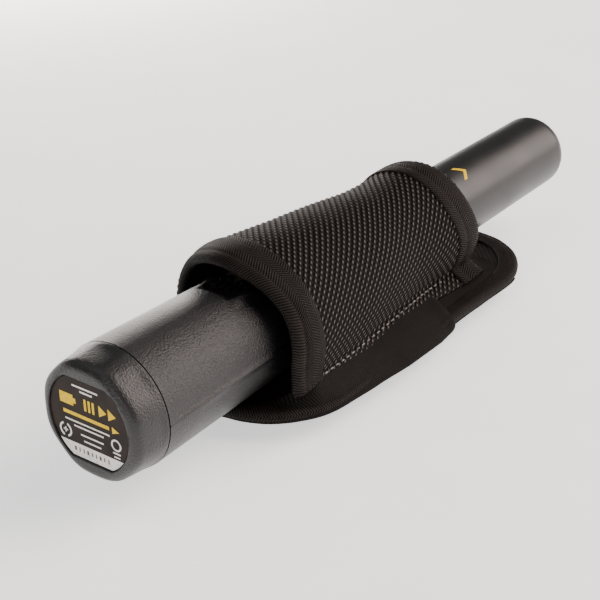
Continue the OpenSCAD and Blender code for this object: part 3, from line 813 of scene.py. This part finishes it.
def buildPlateBinding():
    spots, ways = plateOutline()
    low, high = bindingLow.z + 0.05, plateHigh.z + 1.15
    middle, reach = (low + high) / 2, (high - low) / 2
    section = [(-6.2, high - 0.55), (-6.0, high - 0.1), (-4.5, high), (-2.6, high)]
    section += [(-1.5 + 1.9 * math.sin(math.radians(t)), middle + reach * math.cos(math.radians(t)))
                for t in np.linspace(10, 170, 9)]
    section += [(-2.6, low), (-4.5, low), (-6.0, low + 0.1), (-6.2, low + 0.4)]
    section = np.array(section)
    length = lengthAlong(section)
    run = lengthAlong(closed(spots))
    points, cloth = [], []
    for i in range(len(spots) + 1):
        spot, way = spots[i % len(spots)], ways[i % len(spots)]
        rise = 0.2 * noise.noise(Vector((spot[0] / 8, spot[1] / 8, 3)))
        points.append([(*(spot + way * out), z + rise * (out > -5)) for out, z in section])
        cloth.append([(run[i], v) for v in length])
    return gridPiece("plate_edge_binding", np.array(points)[:-1], np.array(cloth), loopRows=True)


plateBinding = buildPlateBinding()
turnOutward(plateBinding, at(119, 0, -19.5))
keep(plateBinding, "holster", "tape", tapeCloth, "plate_binding")


plateShape = {"inset": 1.2, "proud": 0.35}


def buildPlate():
    spots, ways = plateOutline(plateShape["inset"])
    made = bmesh.new()
    top = [made.verts.new(at(x, y, plateHigh.z + plateShape["proud"])) for x, y in spots]
    face = made.faces.new(top)
    extrudeFlat(made, face, (0, 0, (plateLow.z - plateHigh.z - plateShape["proud"]) / 1000))
    faceOutward(made)
    layer = made.loops.layers.uv.new("cloth")
    for f in made.faces:
        for loop in f.loops:
            loop[layer].uv = (loop.vert.co.x, loop.vert.co.y)
    return meshPiece("back_plate_cloth", made)


keep(buildPlate(), "holster", "sleeve_fabric", plateCloth, "back_plate")


webbing = {"thick": 1.45, "sewn": 14.0, "slope": 7, "gap": 2, "rounding": 0.5}


def buildLoop():
    w = webbing
    thick = w["thick"]
    rear, front = loopLow.x, loopHigh.x
    top = plateLow.z - thick / 2
    low = loopLow.z + thick / 2
    sewn, slope = w["sewn"], w["slope"]
    rest = sewn + slope + w["gap"]
    shares = [(t, 3 * t * t - 2 * t ** 3) for t in np.linspace(0, 1, 10)[1:]]
    line = [(x, top - 0.1) for x in np.linspace(rear, rear + sewn, 8)]
    line += [(rear + sewn + slope * t, top + (low - top) * eased) for t, eased in shares]
    line += [(x, low) for x in np.linspace(rear + rest, front - rest, 12)]
    line += [(front - sewn - slope + slope * t, low + (top - low) * eased) for t, eased in shares]
    line += [(x, top - 0.1) for x in np.linspace(front - sewn, front, 8)[1:]]
    line = np.array(line)
    half = loopHigh.y
    flat, high, edge = half - w["rounding"], thick / 2, 0.3
    ring = [(-flat, high), (flat, high), (half, edge), (half, -edge), (flat, -high), (-flat, -high),
            (-half, -edge), (-half, edge)]
    around = []
    for k in range(len(ring)):
        a, b = np.array(ring[k]), np.array(ring[(k + 1) % len(ring)])
        parts = 16 if np.linalg.norm(b - a) > 10 else 1
        around += [a + (b - a) * i / parts for i in range(parts)]
    around = np.array(around)
    girth = lengthAlong(closed(around))
    points = [[(p[0] + n[0] * h, y, p[1] + n[1] * h) for y, h in around]
              for p, n in zip(line, normalsOf(line))]
    cloth = [[(v, g) for g in girth] for v in lengthAlong(line)]
    piece = gridPiece("belt_loop_webbing", np.array(points), np.array(cloth), loopCols=True)
    reworkMesh(piece.data, closeHoles)
    return piece


keep(buildLoop(), "holster", "webbing", webCloth, "belt_loop")


stitch = {"pitch": 2.9, "length": 1.7, "radius": 0.27, "sides": 6, "from": 70.5, "to": 144.5, "lift": 0.4,
          # (place along the bead, its share of the full thickness)
          "bead": [(-1, 0.25), (-0.75, 0.8), (0, 1), (0.75, 0.8), (1, 0.25)]}


def stitchRow(name, path, normals):
    # Short stitches along a path in millimetres, each a round bead lying on the cloth
    path, normals = np.array(path), np.array(normals)
    pitch, sides = stitch["pitch"], stitch["sides"]
    run = lengthAlong(path)

    def follow(values, place):
        return np.array([np.interp(place, run, values[:, k]) for k in range(3)])

    verts, faces = [], []
    for place in np.arange(pitch / 2, run[-1] - pitch / 2, pitch):
        mid = follow(path, place)
        ahead = follow(path, place + 0.4) - mid
        ahead /= np.linalg.norm(ahead)
        up = follow(normals, place)
        up /= np.linalg.norm(up)
        side = np.cross(ahead, up)
        base = len(verts)
        for k, (reach, thick) in enumerate(stitch["bead"]):
            for i in range(sides):
                turn = 2 * math.pi / sides * i
                out = mid + ahead * reach * stitch["length"] / 2
                out = out + (side * math.cos(turn) + up * math.sin(turn)) * stitch["radius"] * thick
                verts.append(at(*out))
            if k:
                for i in range(sides):
                    a, b = base + (k - 1) * sides + i, base + (k - 1) * sides + (i + 1) % sides
                    faces.append((a, b, b + sides, a + sides))
        faces.append([base + i for i in range(sides - 1, -1, -1)])
        faces.append([len(verts) - sides + i for i in range(sides)])
    mesh = bpy.data.meshes.new(name)
    mesh.from_pydata(verts, [], faces)
    mesh.polygons.foreach_set("use_smooth", [True] * len(faces))
    reworkMesh(mesh, faceOutward)
    return newPiece(name, mesh)


def sleeveRun(index):
    # The path along the probe that one point of the section follows
    spots, ups = [], []
    for x in np.arange(stitch["from"], stitch["to"], 1.5):
        line, normal, _ = sectionLine(x)
        spots.append((x, *(line[index] + normal[index] * stitch["lift"])))
        ups.append((0, *normal[index]))
    return spots, ups


for name, index in {"stitches_crease_right": 10, "stitches_crease_left": -11}.items():
    keep(stitchRow(name, *sleeveRun(index)), "holster", "tape", threadNylon)
print("holster ready")

finishes = {
    "battery_can": lined("steel_battery_can", "#2c3440", "#343d4a", "X", 6, 0.35, 0.6),
    "plated_metal": speckled("nickel_plated_steel", "#9b9a96", "#c9c7c2", 2, 0.28, 1.0),
    "spring_brass": lined("phosphor_bronze_spring", "#8f6f34", "#c09a52", "X", 0.4, 0.3, 1.0),
    "board": speckled("fibreglass_board_green", "#123a22", "#1f5a35", 1.8, 0.35, depth=0.03),
    "phenolic": speckled("phenolic_paper_board", "#5a3c1e", "#7a5530", 1.2, 0.5),
    "chip": speckled("epoxy_chip_body", "#101011", "#1d1d1f", 0.3, 0.5),
    "capacitor_sleeve": speckled("capacitor_sleeve_pvc", "#14181f", "#20262f", 1, 0.3),
    "lead_red": speckled("pvc_lead_red", "#8f1414", "#b92020", 1, 0.4),
    "lead_blue": speckled("pvc_lead_blue", "#162e78", "#2244a0", 1, 0.4),
    "copper": lined("enamelled_copper_winding", "#6b3413", "#b4622a", "X", 0.45, 0.3, 0.9, depth=0.12),
    "ferrite": speckled("sintered_ferrite", "#1b1b1d", "#303034", 0.4, 0.6, depth=0.05),
    "bobbin_plastic": speckled("nylon_bobbin_natural", "#b9b19f", "#d3ccba", 1.5, 0.45),
    "motor_steel": lined("drawn_steel_motor_can", "#8c8c8e", "#b9b9bb", "X", 0.5, 0.3, 1.0),
    "speaker_metal": speckled("pressed_steel_speaker", "#77787a", "#9c9da0", 1.2, 0.35, 1.0),
    "mesh_cloth": speckled("speaker_mesh_cloth", "#080808", "#1b1b1b", 0.35, 0.85, depth=0.1),
    "rubber": speckled("nitrile_rubber_black", "#0a0a0a", "#151414", 0.6, 0.6),
    "button_rubber": speckled("silicone_button", "#131212", "#201e1d", 0.5, 0.55, depth=0.04),
    "lamp": speckled("clear_epoxy_lens", "#d9dde0", "#f1f4f6", 2, 0.12, depth=0.005,
                     **{"Transmission Weight": 0.8, "IOR": 1.52}),
    "foam": speckled("eva_foam_pad", "#3f3d3b", "#5b5855", 0.5, 0.9, depth=0.12),
    "inner_plastic": innerPlastic,
}
nodeSlots = {
    "battery_box": "inner_plastic", "battery": "battery_can", "battery_terminals": "plated_metal",
    "contact_board": "phenolic", "contact_springs": "spring_brass", "battery_leads": "lead_red",
    "circuit_board": "board", "board_screws": "plated_metal", "main_chip": "chip", "small_chips": "chip",
    "capacitors": "capacitor_sleeve", "speaker": "speaker_metal", "speaker_mesh": "mesh_cloth",
    "speaker_leads": "lead_blue", "power_switch": "plated_metal", "vibration_motor": "motor_steel",
    "motor_cradle": "rubber", "motor_weight": "spring_brass", "motor_leads": "lead_red", "led": "lamp",
    "ferrite_rod": "ferrite", "coil_bobbin": "bobbin_plastic", "coil_winding": "copper",
    "rod_supports": "rubber", "coil_leads": "copper", "cap_pad": "foam", "o_ring": "rubber",
}
for name, slotName in nodeSlots.items():
    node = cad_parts[name]
    node.data.materials.clear()
    node.data.materials.append(finishes[slotName])
keep(smoothCopy("power_button", "power_button_cap"), "power_button", "button_rubber",
     finishes["button_rubber"], "power_button")
print("inner parts ready")


def cutOf(piece):
    # the cloth map is in metres, so it gives the rectangle the piece is cut from, and the cut's own area
    spots = np.zeros(len(piece.data.loops) * 2)
    piece.data.uv_layers["cloth"].data.foreach_get("uv", spots)
    spots = spots.reshape(-1, 2)
    area = 0.0
    for face in piece.data.polygons:
        area += ringArea(spots[list(face.loop_indices)])
    return tuple(float(v) for v in np.ptp(spots, axis=0)), area


cutCloths = {
    "sleeve_woven_shell": ("stretched", ["back_plate_cloth"]),
    "sleeve_lining_cloth": ("stretched", ["sleeve_woven_shell"]),
    "rear_edge_tape": ("folded", ["sleeve_woven_shell"]),
    "front_edge_tape": ("folded", ["sleeve_woven_shell"]),
    "side_band_right_rear": ("folded", ["back_plate_cloth"]),
    "side_band_right_front": ("folded", ["back_plate_cloth"]),
    "side_band_left_rear": ("folded", ["back_plate_cloth"]),
    "side_band_left_front": ("folded", ["back_plate_cloth"]),
    "plate_edge_binding": ("folded", ["back_plate_cloth"]),
}
for name, (held, restsOn) in cutCloths.items():
    piece = bpy.data.objects[name]
    size, area = cutOf(piece)
    print(name, "cut from", [round(v * 1000, 1) for v in size], "mm, area", round(area * 1e6), "mm2")
# these two are closed round both faces, so their maps can't give the cut
webRun = cutOf(bpy.data.objects["belt_loop_webbing"])[0][0]
plateSpots = plateOutline(plateShape["inset"])[0] / 1000
